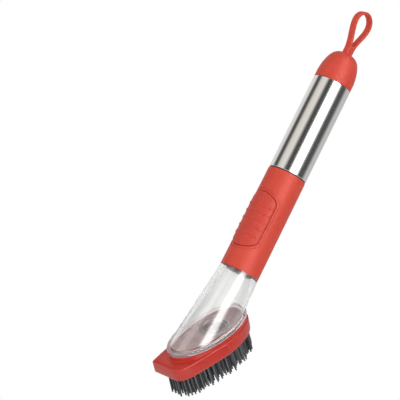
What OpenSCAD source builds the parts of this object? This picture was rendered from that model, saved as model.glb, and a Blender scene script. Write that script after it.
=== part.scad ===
// Soap dispensing dish wand with a screw-on scrubbing head.
// +Z runs up the handle to the hanging loop, +X is the side of the thumb button.
// The origin is the point of the loop that rests on the hook.
// Stations are heights above the point where the handle's axis meets the head.

/* [Steel sleeve and grip] */
// Outside diameter of the steel sleeve
tube_d = 28; // [26:0.5:32]
// Length of the steel sleeve
tube_len = 72.1; // [60:0.1:95]
// Wall of the steel sleeve
tube_wall = 0.5; // [0.4:0.1:0.8]
// Length of the red grip
grip_len = 76; // [72:1:95]
// Outside diameter of the grip where it meets the clear neck
grip_foot_d = 28.8; // [28.2:0.2:31]
// Wall of the grip where it meets the steel sleeve
grip_wall = 2.1; // [1.9:0.1:2.7]
// Thickness of the ring that seals the sleeve on the grip
ring_t = 0.8; // [0.4:0.1:1.2]
// How deep that ring lies below the outside of the sleeve
ring_depth = 0.4; // [0.1:0.1:0.8]

/* [Thumb button] */
// Width of the pad, measured across the flats of its outline
pad_w = 22.8; // [18:0.2:23.2]
// Length of the pad
pad_len = 41.4; // [34:0.2:44]
// Length of each curved end of the pad
pad_end = 7.2; // [5:0.2:12]
// Height of the pad's middle above the lower end of the grip
pad_height = 36.4; // [35:0.2:40]
// Thickness of the soft pad
pad_t = 1.7; // [1.2:0.1:2.2]
// How far the pad stands proud of the grip
pad_proud = 0.4; // [0:0.1:1]
// Spacing of the ribs across the pad
rib_pitch = 5.6; // [4:0.2:9]
// Height of each rib
rib_h = 0.45; // [0.2:0.05:0.8]
// Width of the bezel round the pad
bezel_w = 0.9; // [0.7:0.1:1.1]
// Travel of the button
press = 3; // [1.5:0.5:3]

/* [Reservoir and pump] */
// Wall of the reservoir
tank_wall = 1.2; // [0.8:0.1:1.8]
// Outside diameter of the filling neck
mouth_d = 20.4; // [18:0.2:20.8]
// Height of the filling neck above the sleeve
mouth_h = 9.6; // [7:0.2:11]
// Depth of the reservoir's stem inside the grip
stem_len = 13; // [8:0.5:14]
// Diameter of the pump chamber
chamber_d = 15; // [12:0.5:16]
// Diameter of the soap passages
passage_d = 3.6; // [2.6:0.2:4.4]

/* [Clear neck and foot] */
// Distance along the handle's axis from the foot to the grip
neck_len = 44.5; // [40:0.5:52]
// Angle between the handle's axis and the line square to the head
head_tilt = 53; // [45:1:58]
// Length of the foot
foot_len = 69; // [60:1:76]
// Width of the foot
foot_w = 37.6; // [33:0.2:42]
// Thickness of the foot's rim
foot_rim = 3; // [2.4:0.1:4]
// Wall of the neck at the foot
neck_wall = 2.2; // [1.6:0.1:3]
// Length of the collar inside the grip
collar_len = 12; // [9:0.5:13]
// How far the foot's middle lies toward the nose from the screw spigot
foot_shift = 6; // [3:0.5:8]
// How far the handle's axis lies toward the nose from the screw spigot
axis_shift = 2.9; // [0:0.1:5]
// Outside diameter of the screw spigot
spigot_d = 20.4; // [17:0.2:22]
// Length of the screw spigot below the foot
spigot_len = 7.6; // [6:0.1:8]

/* [Scrubbing head] */
// Height of the raised plateau over the ledge
plateau_h = 3.1; // [2:0.1:4]
// Height of the whole head block
block_h = 12.5; // [11:0.1:16]
// Width of the ledge beside the plateau
ledge_w = 0.9; // [0.5:0.1:2]
// Reach of the nose from the screw axis
nose_reach = 48; // [44:0.5:52]
// Distance of the sharp corner from the centre line
corner_w = 12.8; // [10:0.2:15]
// Turn of the long side next to the rounded corner
near_side_turn = 6.4; // [4:0.1:8]
// Turn of the long side next to the sharp corner
far_side_turn = 9.5; // [7:0.1:12]
// Distance of the detent dimple from the screw axis
dimple_reach = 32; // [26:0.5:34]

/* [Bristles] */
// Free length of the bristles
bristle_len = 14; // [8:0.5:20]
// Width of one strand
strand_w = 1.7; // [1.2:0.05:1.8]
// Spacing of the strands along each column across the head
strand_pitch = 2.6; // [2.4:0.05:2.65]
// How much wider the field is at the tips than at the roots
fan = 1.14; // [1:0.01:1.2]
// Reach of the field from the foot's middle towards the sharp corner
field_reach = 30.8; // [27:0.2:34]
// Thickness of the plate that holds the strands
plate_t = 2; // [1.5:0.1:2.5]
// Rim of the block round that plate
plate_rim = 2; // [1.4:0.1:3]
// Diameter of the soap outlet
outlet_d = 7; // [5:0.5:9]

/* [Cap and loop] */
// Height of the domed part of the cap
dome_h = 24.3; // [20:0.1:30]
// Height from the top of the dome to the top of the loop
loop_rise = 33.4; // [28:0.2:42]
// Outside width of the loop
loop_w = 18; // [15:0.5:24]
// Width of the strap
strap_w = 5; // [3.5:0.1:7]
// Thickness of the strap at the top of the loop
strap_t = 1.9; // [1.4:0.1:2.6]

/* [Hidden] */
$fn = 64;

// Clearances and small fixed sizes
run_gap = 0.1;      // between a turned or sliding fit and its bore
soft_gap = 0.3;     // round a soft or loose piece
seat_gap = 0.2;     // between parts that close on each other
eps = 0.01;
sides = 72;         // points round a lofted section
edge = 0.5;         // radius of small edge roundings

// Stations along the handle's axis
s_neck = neck_len;
s_ring = s_neck + grip_len;
s_tube = s_ring + ring_t;
s_tube_top = s_tube + tube_len;
s_cap = s_tube_top + seat_gap;
s_dome_top = s_cap + dome_h;
s_loop_top = s_dome_top + loop_rise;
s_hook = s_loop_top - strap_t;
s_pad = s_neck + pad_height;

// Radii of the handle
tube_r = tube_d / 2;
tube_ir = tube_r - tube_wall;
grip_top_r = tube_r + run_gap;
grip_foot_r = grip_foot_d / 2;
bore_r = tube_r - grip_wall;
insert_r = bore_r - run_gap;
tank_r = tube_ir - seat_gap;
tank_ir = tank_r - tank_wall;
mouth_r = mouth_d / 2;
mouth_ir = mouth_r - tank_wall - 0.6;
stem_ir = insert_r - tank_wall - 1;
lip_ir = mouth_r + 0.8;

// O-rings: thickness of the cord, its groove and the distance between them
seal_r = 0.68;
seal_groove = 1.3;
seal_groove_w = 1.8;
seal_mid_r = insert_r - seal_groove + seal_r + 0.02;

// Head frame: x to the nose, y as the handle's, z out of the head towards the foot
foot_a = foot_len / 2;
foot_b = foot_w / 2;
head_x = -axis_shift * cos(head_tilt);
head_z = axis_shift * sin(head_tilt);
spigot_r = spigot_d / 2;
socket_r = spigot_r + run_gap;
spigot_wall = 2.6;
nozzle_r = 2.5;
seal_seat_r = spigot_r + 1.4;
seal_seat_h = 1.3;
floor_t = 2;

// Head block
rim_inset = 0.5;    // how far the red plateau lies inside the clear rim
plate_z = -block_h + plate_t;

// Bristle field: columns across the head, in three slices that part between columns
column_gap = strand_pitch * sqrt(3) / 2;
strand_margin = 0.2; // between a strand and the edge of the plate
field_turn = 44;     // direction of the bare corner, from the nose
nose_slice = column_line(0.69);
heel_slice = column_line(0.33);
nose_end = nose_reach + ledge_w + 1;
heel_end = foot_shift - foot_len;

// Pump, measured from the handle's axis towards the button
flat_x = 1.5;
dome_flange = 1.2;
retainer_t = 1;
plunger_x = flat_x + dome_flange + retainer_t + press + 0.3;
dome_top_x = plunger_x - 0.05;
pad_r = (grip_top_r + grip_foot_r) / 2 + pad_proud;
pad_ir = pad_r - pad_t;
frame_half_w = pad_w / 2 + soft_gap + bezel_w;
frame_half_len = pad_len / 2 + soft_gap + bezel_w + 0.8;
body_half_len = frame_half_len + seat_gap;
valve_r = passage_d / 2 + 2.4;
valve_flange = 0.8;
valve_h = 4.5;
passage_x = -3;
s_pump = s_neck + collar_len;
s_pump_top = s_ring - stem_len;

// Cap
core_r = 12;
core_top = 2;
washer_t = 0.6;
stem_half_x = 3.2;
stem_end = 3.2;
cap_flare = 2.4;    // how softly the dome runs out into the stem
loop_mid = loop_rise - loop_w / 2;
gap_foot = loop_rise * 0.18;

// Frames of reference

module handle_frame() {
    translate([0, 0, -s_hook]) children();
}

module head_frame() {
    handle_frame()
        translate([head_x, 0, head_z]) rotate([0, head_tilt, 0]) children();
}

// Turns the children so that their +Z points to the thumb, at the pad's middle
module button_frame_of_reference() {
    handle_frame()
        translate([0, 0, s_pad]) rotate([0, 90, 0]) children();
}

// A point given in the head frame, in the stations' frame
function head_point(u, w, z) = [
    head_x + u * cos(head_tilt) + z * sin(head_tilt),
    w,
    head_z - u * sin(head_tilt) + z * cos(head_tilt)
];

function mix(a, b, t) = a * (1 - t) + b * t;
function ring_angle(i) = 360 * i / sides;

// Solid skin over a stack of rings that all have the same number of points,
// each counterclockwise seen from above, the lowest ring first
module loft(rings) {
    n = len(rings[0]);
    m = len(rings);
    points = [for (r = rings) for (p = r) p];
    floor_face = [for (i = [0:n - 1]) i];
    roof_face = [for (i = [n - 1:-1:0]) (m - 1) * n + i];
    walls = [for (r = [0:m - 2]) for (i = [0:n - 1])
        let (a = r * n + i, b = r * n + (i + 1) % n)
        each [[a, a + n, b + n], [a, b + n, b]]];
    polyhedron(points, concat([floor_face], walls, [roof_face]), convexity = 6);
}

// Square-cornered tube about the handle's axis between two stations
module tube(r_out, r_in, s_low, s_high) {
    rotate_extrude()
        polygon([[r_in, s_low], [r_out, s_low], [r_out, s_high], [r_in, s_high]]);
}

// Round sealing cord about the handle's axis
module cord_ring(mid_r, cord_r) {
    rotate_extrude() translate([mid_r, 0]) circle(r = cord_r, $fn = 32);
}

// One-way valve: a flange and a beak that closes to a line, pointing down
module duckbill() {
    beak_r = passage_d / 2 + 1;
    translate([0, 0, -valve_flange]) cylinder(h = valve_flange, r = valve_r);
    hull() {
        translate([0, 0, -valve_flange - 0.4]) cylinder(h = 0.4, r = beak_r, $fn = 32);
        translate([-beak_r, -0.35, -valve_h]) cube([2 * beak_r, 0.7, 0.6]);
    }
}

// Cap and loop

// Half width of the cap at a height above its lower edge, before it meets the strap
function dome_r(h) = tube_r * pow(max(0, 1 - pow(h / dome_h, 2.5)), 0.4);
function blend(a, b) = pow(pow(a, cap_flare) + pow(b, cap_flare), 1 / cap_flare);

// Section of the cap: round below, a rounded rectangle where the strap starts
function cap_ring(h) =
    let (
        half_x = min(tube_r, blend(dome_r(h), stem_half_x - 0.3)),
        half_y = min(tube_r, blend(dome_r(h), strap_w / 2 - 0.3)),
        square = 2 + 2 * pow(max(0, h - dome_h / 2) / (dome_h / 2 + stem_end), 3)
    )
    [for (i = [0:sides - 1])
        let (c = cos(ring_angle(i)), s = sin(ring_angle(i)))
        [
            half_x * sign(c) * pow(abs(c), 2 / square),
            half_y * sign(s) * pow(abs(s), 2 / square),
            s_cap + h
        ]];

// Half width of the loop at a height above the dome: a stem that swells to the round top
function loop_swell(h) =
    let (t = min(1, max(0, (h - stem_end) / (loop_mid - stem_end))))
    t * t * (3 - 2 * t);
function loop_half(h, inset) =
    let (
        wide = loop_w / 2 - stem_half_x,
        slope = wide * (loop_swell(h + 0.1) - loop_swell(h - 0.1)) / 0.2
    )
    stem_half_x + wide * loop_swell(h) - inset * norm([1, slope]);

// Outline of the strap seen along the loop's opening: from the middle of its low end
// up one side, over the round top and down the other side
function strap_outline(foot, sides_up, inset) =
    let (top_r = loop_w / 2 - inset, n = len(sides_up))
    concat(
        [[0, foot]],
        sides_up,
        [for (i = [1:15])
            let (t = 180 * i / 16) [top_r * cos(t), loop_mid + top_r * sin(t)]],
        [for (i = [n - 1:-1:0]) [-sides_up[i][0], sides_up[i][1]]]
    );

function outer_outline(inset) =
    let (low = -1)
    strap_outline(low, [for (i = [0:11])
        let (h = mix(low, loop_mid, i / 11)) [loop_half(h, inset), h]], inset);

// The gap's outline follows the strap and closes in a round foot
function gap_outline(inset) =
    let (low = gap_foot + inset - strap_t, round_h = 2.4)
    strap_outline(low, [for (i = [1:12])
        let (h = mix(low, loop_mid, pow(i / 12, 1.6)), t = max(0, 1 - (h - low) / round_h))
        [loop_half(h, inset) * sqrt(1 - t * t), h]], inset);

// The strap as one closed ring of sections, each with its edges rounded
module loop_strap() {
    half = strap_w / 2;
    rounding = [[half, 0.55], [half - 0.2, 0.2], [half - edge, 0]];
    layers = concat(
        [for (r = rounding) [outer_outline(r[1]), -r[0]]],
        [for (i = [2:-1:0]) [outer_outline(rounding[i][1]), rounding[i][0]]],
        [for (r = rounding) [gap_outline(strap_t - r[1]), r[0]]],
        [for (i = [2:-1:0]) [gap_outline(strap_t - rounding[i][1]), -rounding[i][0]]]
    );
    m = len(layers);
    n = len(layers[0][0]);
    points = [for (k = [0:n - 1]) for (l = layers) [l[0][k][0], l[0][k][1], l[1]]];
    faces = [for (k = [0:n - 1]) for (i = [0:m - 1])
        let (a = k * m + i, b = k * m + (i + 1) % m, c = (k + 1) % n * m)
        each [[a, b, c + (i + 1) % m], [a, c + (i + 1) % m, c + i]]];
    translate([0, 0, s_dome_top]) rotate([90, 0, 0])
        polyhedron(points, faces, convexity = 6);
}

module cap_loop() color("crimson") handle_frame() {
    heights = [
        0, 0.25 * dome_h, 0.4 * dome_h, 0.52 * dome_h, 0.62 * dome_h, 0.7 * dome_h,
        0.77 * dome_h, 0.83 * dome_h, 0.88 * dome_h, 0.92 * dome_h, 0.955 * dome_h,
        0.985 * dome_h, dome_h, dome_h + 1.5
    ];
    difference() {
        union() {
            loft([for (h = heights) cap_ring(h)]);
            loop_strap();
        }
        translate([0, 0, s_cap - eps])
            cylinder(h = mouth_h + washer_t + core_top - seat_gap + eps, r = core_r);
    }
}

module cap_core() color("gainsboro") handle_frame() {
    s_top = s_tube_top + mouth_h + washer_t;
    difference() {
        translate([0, 0, s_cap]) cylinder(h = s_top + core_top - s_cap, r = core_r);
        translate([0, 0, s_cap - eps])
            cylinder(h = s_top - s_cap + eps, r = mouth_r + run_gap);
    }
}

module cap_washer() color("white") handle_frame() {
    s_low = s_tube_top + mouth_h;
    tube(mouth_r, mouth_ir - 0.4, s_low, s_low + washer_t);
}

// Handle

module steel_sleeve() color("silver") handle_frame() {
    rotate_extrude() polygon([
        [tube_ir, s_tube], [tube_r, s_tube], [tube_r, s_tube_top],
        [lip_ir, s_tube_top], [lip_ir, s_tube_top - tube_wall],
        [tube_ir, s_tube_top - tube_wall]
    ]);
}

module sleeve_ring() color("dimgray") handle_frame() {
    tube(tube_r - ring_depth, bore_r, s_ring, s_tube);
}

module reservoir() color("whitesmoke") handle_frame() {
    s_low = s_pump_top;
    s_shoulder = s_tube_top - tube_wall;
    s_mouth = s_tube_top + mouth_h;
    s_groove = s_ring - stem_len / 2;
    difference() {
        rotate_extrude() polygon([
            [0, s_low], [insert_r, s_low], [insert_r, s_tube], [tank_r, s_tube],
            [tank_r, s_shoulder], [mouth_r, s_shoulder], [mouth_r, s_mouth],
            [mouth_ir, s_mouth], [mouth_ir, s_shoulder - tank_wall],
            [tank_ir, s_shoulder - tank_wall - 2], [tank_ir, s_tube + tank_wall],
            [stem_ir, s_tube - 1], [stem_ir, s_low + tank_wall], [0, s_low + tank_wall]
        ]);
        translate([passage_x, 0, s_low - eps])
            cylinder(h = tank_wall + 2 * eps, r = passage_d / 2);
        tube(insert_r + 1, insert_r - seal_groove,
            s_groove - seal_groove_w / 2, s_groove + seal_groove_w / 2);
    }
}

module reservoir_seal() color("black") handle_frame() {
    translate([0, 0, s_ring - stem_len / 2]) cord_ring(seal_mid_r, seal_r);
}

module grip_housing() color("crimson") {
    difference() {
        handle_frame() rotate_extrude() polygon([
            [bore_r, s_neck], [grip_foot_r - edge, s_neck], [grip_foot_r, s_neck + edge],
            [grip_top_r, s_ring - edge], [grip_top_r - edge, s_ring], [bore_r, s_ring]
        ]);
        button_frame_of_reference() translate([0, 0, flat_x - run_gap])
            linear_extrude(tube_d)
                pad_outline(frame_half_w + run_gap, frame_half_len + run_gap);
    }
}

// Thumb button

// Outline of the pad, seen by the thumb: straight sides and elliptical ends.
// The end curve keeps its depth, so outlines of different size stay parallel.
module pad_outline(half_w, half_len) {
    steps = 14;
    straight = half_len - pad_end;
    polygon([
        for (i = [0:steps]) let (t = -90 + 180 * i / steps)
            [straight + pad_end * cos(t), half_w * sin(t)],
        for (i = [0:steps]) let (t = 90 + 180 * i / steps)
            [-straight + pad_end * cos(t), half_w * sin(t)]
    ]);
}

module button_prism(half_w, half_len, low, high) {
    translate([0, 0, low]) linear_extrude(high - low) pad_outline(half_w, half_len);
}

module handle_core(r) {
    rotate([0, 90, 0]) cylinder(h = pad_len * 2, r = r, center = true);
}

module button_frame() color("firebrick") button_frame_of_reference() {
    tab_half = 6;
    difference() {
        intersection() {
            button_prism(frame_half_w, frame_half_len, flat_x, tube_d);
            handle_core(grip_top_r);
        }
        button_prism(frame_half_w - bezel_w, pad_len / 2 + soft_gap, 0, tube_d);
        translate([-frame_half_len + bezel_w, -tab_half, 0])
            cube([2 * (frame_half_len - bezel_w), 2 * tab_half, plunger_x + 2.2]);
    }
}

module button_pad() color("indianred") button_frame_of_reference() {
    ribs = floor((pad_len - 2 * rib_pitch) / rib_pitch / 2);
    rib_r = rib_pitch * 0.3;
    difference() {
        intersection() {
            button_prism(pad_w / 2, pad_len / 2, plunger_x, tube_d);
            union() {
                handle_core(pad_r);
                for (i = [-ribs:ribs])
                    translate([i * rib_pitch, 0, 0]) rotate([0, 90, 0])
                        cord_ring(pad_r + rib_h - rib_r, rib_r);
            }
        }
        handle_core(pad_ir);
    }
}

module button_plunger() color("lightgray") button_frame_of_reference() {
    tab_half = 5.7;
    tab_reach = frame_half_len - bezel_w - soft_gap;
    intersection() {
        union() {
            button_prism(pad_w / 2 - soft_gap, pad_len / 2 - soft_gap, plunger_x, tube_d);
            translate([-tab_reach, -tab_half, plunger_x])
                cube([2 * tab_reach, 2 * tab_half, 2]);
        }
        handle_core(pad_ir);
    }
}

// Pump

module pump_dome() color("mistyrose") button_frame_of_reference() {
    r = chamber_d / 2;
    wall = 1;
    low = flat_x;
    top = dome_top_x;
    rotate_extrude() polygon([
        [r, low], [r + 2, low], [r + 2, low + dome_flange],
        [r + 0.6, low + dome_flange], [r - 0.6, top - 1.4], [r - 2, top - 0.3],
        [r - 3, top], [0, top], [0, top - wall], [r - 3.2, top - wall],
        [r - 1.8, top - wall - 0.8], [r - 0.6, low + dome_flange]
    ]);
}

module dome_retainer() color("lightgray") button_frame_of_reference() {
    r = chamber_d / 2;
    rotate_extrude() polygon([
        [r + 2 + run_gap, flat_x], [r + 2.6, flat_x],
        [r + 2.6, flat_x + dome_flange + retainer_t],
        [r + 0.8, flat_x + dome_flange + retainer_t],
        [r + 0.8, flat_x + dome_flange], [r + 2 + run_gap, flat_x + dome_flange]
    ]);
}

module pump_body() color("whitesmoke") {
    pocket = valve_flange;
    difference() {
        handle_frame()
            translate([0, 0, s_pump]) cylinder(h = s_pump_top - s_pump, r = insert_r);
        button_frame_of_reference() {
            translate([-body_half_len, -tube_r, flat_x])
                cube([2 * body_half_len, tube_d, tube_d]);
            translate([0, 0, passage_x * 2]) cylinder(h = tube_d, r = chamber_d / 2);
        }
        handle_frame() translate([passage_x, 0, 0]) {
            translate([0, 0, s_pump - 1])
                cylinder(h = s_pump_top - s_pump + 2, r = passage_d / 2);
            translate([0, 0, s_pump_top - pocket]) cylinder(h = pocket + 1, r = valve_r);
            translate([0, 0, s_pump_top - valve_h - 0.5])
                cylinder(h = valve_h + 1, r = passage_d / 2 + 1 + run_gap);
        }
    }
}

module inlet_valve() color("white") handle_frame() {
    translate([passage_x, 0, s_pump_top]) duckbill();
}

module outlet_valve() color("white") handle_frame() {
    translate([passage_x, 0, s_pump]) difference() {
        duckbill();
        translate([0, 0, -valve_flange - 1]) cylinder(h = valve_flange + 2, r = passage_d / 2);
    }
}

// Clear neck

// Ring of the foot at a height over its underside, drawn in by an inset
function foot_ring(z, inset) = [for (i = [0:sides - 1])
    head_point(
        foot_shift + (foot_a - inset) * cos(ring_angle(i)),
        (foot_b - inset) * sin(ring_angle(i)),
        z
    )];

function neck_ring(r, s) = [for (i = [0:sides - 1])
    [r * cos(ring_angle(i)), r * sin(ring_angle(i)), s]];

function mix_rings(low, high, t) = [for (i = [0:sides - 1]) mix(low[i], high[i], t)];

function collar_ir() = insert_r - seal_groove - 0.9;

// Skin of the neck as one cup: up the outside, round the collar with its
// groove, and down the inside to the floor of the foot
module neck_cup() {
    out_base = foot_ring(foot_rim + 0.3, 1.5);
    out_top = neck_ring(grip_foot_r - 0.1, s_neck);
    in_inset = 1.5 + neck_wall;
    in_base = foot_ring(floor_t + 1.2, in_inset);
    in_top = neck_ring(collar_ir(), s_neck);
    s_groove = s_neck + collar_len / 2;
    s_collar = s_neck + collar_len;
    steps = 4;
    loft(concat(
        [foot_ring(0, edge), foot_ring(edge, 0), foot_ring(foot_rim - edge, 0),
            foot_ring(foot_rim, edge)],
        [for (k = [0:steps]) mix_rings(out_base, out_top, k / steps)],
        [neck_ring(insert_r, s_neck),
            neck_ring(insert_r, s_groove - seal_groove_w / 2),
            neck_ring(insert_r - seal_groove, s_groove - seal_groove_w / 2),
            neck_ring(insert_r - seal_groove, s_groove + seal_groove_w / 2),
            neck_ring(insert_r, s_groove + seal_groove_w / 2),
            neck_ring(insert_r, s_collar - edge), neck_ring(insert_r - edge, s_collar),
            neck_ring(collar_ir(), s_collar)],
        [for (k = [0:steps]) mix_rings(in_top, in_base, k / steps)],
        [foot_ring(floor_t, in_inset + 1.2)]
    ));
}

module clear_neck() color("lightcyan", 0.4) difference() {
    union() {
        handle_frame() neck_cup();
        head_frame() translate([0, 0, -spigot_len])
            cylinder(h = spigot_len + floor_t / 2, r = spigot_r);
    }
    head_frame() {
        translate([0, 0, -spigot_len + floor_t])
            cylinder(h = spigot_len + 0.5, r = spigot_r - spigot_wall);
        translate([0, 0, -spigot_len - 1]) cylinder(h = floor_t + 2, r = nozzle_r);
    }
}

module neck_seal() color("black") handle_frame() {
    translate([0, 0, s_neck + collar_len / 2]) cord_ring(seal_mid_r, seal_r);
}

module nozzle_valve() color("white") head_frame() {
    lip = 0.8;
    reach = 1;
    top = -spigot_len + floor_t;
    difference() {
        union() {
            translate([0, 0, top]) cylinder(h = lip, r = nozzle_r + 1.5);
            translate([0, 0, -spigot_len - reach])
                cylinder(h = floor_t + reach + eps, r = nozzle_r);
        }
        translate([0, 0, -spigot_len]) cylinder(h = floor_t + lip + 1, r = nozzle_r - 0.9);
    }
}

module head_seal() color("black") head_frame() {
    translate([0, 0, -seat_gap - seal_seat_h / 2])
        cord_ring(spigot_r + run_gap + 0.55, 0.55);
}

// Scrubbing head

// Distance from the foot's middle to the plateau's edge in the direction t
function plateau_r(t) =
    let (a = foot_a - rim_inset, b = foot_b - rim_inset)
    1 / sqrt(pow(cos(t) / a, 2) + pow(sin(t) / b, 2));

// How far a straight side along the ledge lies from the foot's middle
function side_d(turn) =
    let (a = foot_a - rim_inset, b = foot_b - rim_inset)
    ledge_w + sqrt(pow(a * sin(turn), 2) + pow(b * cos(turn), 2));

// Distance to the block's edge: an oval a ledge wider than the plateau, run out
// to a blunt nose with one rounded corner and one sharp corner
function block_r(t) =
    let (
        nose = max(0, cos(t)) / (nose_reach - foot_shift),
        near = max(0, cos(t - 90 + near_side_turn)) / side_d(near_side_turn),
        far = max(0, cos(t + 90 - far_side_turn)) / side_d(far_side_turn),
        round_corner = pow(pow(nose, 7) + pow(near, 7), 1 / 7),
        wedge = 1 / max(round_corner, nose, far),
        oval = plateau_r(t) + ledge_w
    )
    cos(t) > 0 ? max(oval, wedge) : oval;

// Directions round the head, with one on the sharp corner
corner_t = atan2(-corner_w, nose_reach - foot_shift);
function head_angle(i) = corner_t + ring_angle(i);

// Ring of the head: share 0 follows the plateau, share 1 the block's full outline
function head_ring(z, share, inset) = [for (i = [0:sides - 1])
    let (t = head_angle(i), r = mix(plateau_r(t), block_r(t), share) - inset)
    [foot_shift + r * cos(t), r * sin(t), z]];

module block_outline(inset) {
    polygon([for (p = head_ring(0, 1, inset)) [p[0], p[1]]]);
}

module head_block() color("crimson") head_frame() {
    top = -seat_gap;
    ledge = -plateau_h;
    difference() {
        loft([
            head_ring(-block_h, 1, 0.7),
            head_ring(-block_h + 0.6, 1, 0.2),
            head_ring(ledge - 0.7, 1, 0),
            head_ring(ledge, 0.93, 0),
            head_ring(ledge, 0.04, 0),
            head_ring(ledge + 0.3, 0, 0),
            head_ring(top - 0.4, 0, 0),
            head_ring(top, 0, 0.4)
        ]);
        translate([0, 0, plate_z + 1.5]) cylinder(h = block_h, r = socket_r);
        translate([0, 0, top - seal_seat_h]) cylinder(h = block_h, r = seal_seat_r);
        translate([0, 0, -block_h - 1]) cylinder(h = block_h, r = outlet_d / 2);
        translate([0, 0, -block_h - 1]) linear_extrude(plate_t + 1) block_outline(plate_rim);
        translate([dimple_reach, 0, top]) sphere(r = 1.3, $fn = 24);
    }
}

// Line between two columns of strands, nearest to a share of the way to the nose
function column_line(share) =
    foot_shift + column_gap * round((mix(-foot_a, nose_reach - foot_shift, share)) / column_gap);

// Roots in columns across the head, every other column set off by half a space.
// The field leaves the sharp corner of the nose bare.
function strand_roots(u_low, u_high) =
    let (
        columns = ceil(foot_len / column_gap),
        rows = ceil(foot_w / strand_pitch / 2),
        keep = strand_margin + strand_w / 2
    )
    [for (i = [-columns:columns], j = [-rows:rows])
        let (
            u = (i + 0.5) * column_gap,
            w = (j + (i % 2 == 0 ? 0 : 0.5)) * strand_pitch,
            t = atan2(w, u)
        )
        if (u + foot_shift > u_low && u + foot_shift < u_high
            && norm([u, w]) < block_r(t) - plate_rim - keep
            && u * cos(field_turn) - w * sin(field_turn) < field_reach - keep
            && norm([u + foot_shift, w]) > outlet_d / 2 + 2 * keep - strand_margin)
        [u + foot_shift, w]];

// A strand leans out towards its side of the head
module strand(root) {
    sink = 0.6;
    lean = atan2(root[1] * (fan - 1), bristle_len);
    translate([root[0], root[1], -block_h]) rotate([180 + lean, 0, 0])
        translate([0, 0, -sink])
            cylinder(h = bristle_len / cos(lean) + sink, r = strand_w / 2, $fn = 4);
}

module bristle_slice(u_low, u_high) {
    difference() {
        intersection() {
            translate([0, 0, -block_h]) linear_extrude(plate_t) block_outline(plate_rim);
            translate([u_low, -foot_w, -2 * block_h])
                cube([u_high - u_low, 2 * foot_w, 2 * block_h]);
        }
        translate([0, 0, -block_h - 1]) cylinder(h = block_h, r = outlet_d / 2);
    }
    for (root = strand_roots(u_low, u_high)) strand(root);
}

module bristles_nose() color("dimgray") head_frame()
    bristle_slice(nose_slice, nose_end);

module bristles_middle() color("dimgray") head_frame()
    bristle_slice(heel_slice, nose_slice);

module bristles_heel() color("dimgray") head_frame()
    bristle_slice(heel_end, heel_slice);

cap_loop();
cap_core();
cap_washer();
steel_sleeve();
reservoir();
sleeve_ring();
reservoir_seal();
grip_housing();
button_frame();
button_pad();
button_plunger();
pump_dome();
dome_retainer();
pump_body();
inlet_valve();
outlet_valve();
neck_seal();
clear_neck();
nozzle_valve();
head_seal();
head_block();
bristles_nose();
bristles_middle();
bristles_heel();
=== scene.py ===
"""The looks of a soap dispensing dish wand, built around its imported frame.

Lengths are in millimetres until they enter a mesh, in the frame's own axes:
+Z up the handle, +X to the thumb button, the origin where the loop hangs.
The head has axes of its own: u to the nose, w as the frame's Y, h out of the
head towards the foot, from the middle of the screw spigot.
"""
import math
import random

import bmesh
import bpy
from mathutils import Matrix, Vector


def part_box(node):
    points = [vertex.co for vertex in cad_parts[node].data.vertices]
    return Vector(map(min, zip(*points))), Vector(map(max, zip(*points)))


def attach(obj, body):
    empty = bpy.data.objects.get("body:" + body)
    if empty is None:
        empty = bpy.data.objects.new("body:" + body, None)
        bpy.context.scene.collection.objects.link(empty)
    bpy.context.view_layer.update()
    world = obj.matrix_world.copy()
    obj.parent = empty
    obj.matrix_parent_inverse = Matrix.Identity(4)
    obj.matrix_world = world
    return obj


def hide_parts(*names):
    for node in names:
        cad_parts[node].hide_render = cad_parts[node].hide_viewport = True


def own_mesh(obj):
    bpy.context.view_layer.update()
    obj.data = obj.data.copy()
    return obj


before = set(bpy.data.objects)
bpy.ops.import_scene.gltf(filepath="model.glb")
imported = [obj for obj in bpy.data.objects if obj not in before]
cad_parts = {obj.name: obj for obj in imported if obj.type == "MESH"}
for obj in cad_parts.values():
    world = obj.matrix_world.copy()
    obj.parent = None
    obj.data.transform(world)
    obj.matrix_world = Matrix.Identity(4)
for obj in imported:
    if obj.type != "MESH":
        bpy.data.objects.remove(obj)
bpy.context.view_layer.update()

MM = 0.001


def span(node, axis=2):
    """Lowest and highest place of a CAD node along an axis, in millimetres."""
    low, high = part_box(node)
    return low[axis] / MM, high[axis] / MM


# Heights along the handle
Z_NECK, Z_RING = span("grip_housing")
Z_TUBE, Z_TUBE_TOP = span("steel_sleeve")
Z_CAP, Z_LOOP_TOP = span("cap_loop")
NECK_LEN = 44.5
Z_FOOT = Z_NECK - NECK_LEN
DOME_H = 24.3
Z_DOME_TOP = Z_CAP + DOME_H
PAD_HEIGHT = 36.4
Z_PAD = Z_NECK + PAD_HEIGHT

# Handle
TUBE_R = span("steel_sleeve", 1)[1]
TUBE_WALL = 0.5
GRIP_TOP_R = TUBE_R + 0.1
GRIP_FOOT_R = span("grip_housing", 1)[1]
BORE_R = 11.9
MOUTH_R = 10.2
MOUTH_H = 9.6
LIP_R = MOUTH_R + 0.8

# Cap and loop
DOME_CURVE = 2.5
LOOP_W = 18
STRAP_W = 5
STRAP_T = 1.9
STEM_HALF = 3.2
STEM_END = 3.2
STEM_TUCK = 0.3
CAP_FLARE = 2.4
GAP_FOOT = 6
GAP_FOOT_H = 2.4
CORE_R = 12
CORE_DEPTH = 12

# Thumb button
PAD_HALF_W = 11.4
PAD_HALF_LEN = 20.7
PAD_END = 7.2
PAD_T = 1.7
PAD_PROUD = 0.4
PAD_GAP = 0.3
BEZEL_W = 0.9
BEZEL_END = 0.8
PAD_EDGE = 0.7
RIB_PITCH = 5.6
RIB_SHARE = 0.3
RIB_H = 0.45
RIB_FADE = 0.9
RIBS = 2
FLAT_X = 1.5
PUMP_WALL = 1
PUMP_FLANGE = 1.2
PUMP_FLANGE_W = 2

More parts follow.
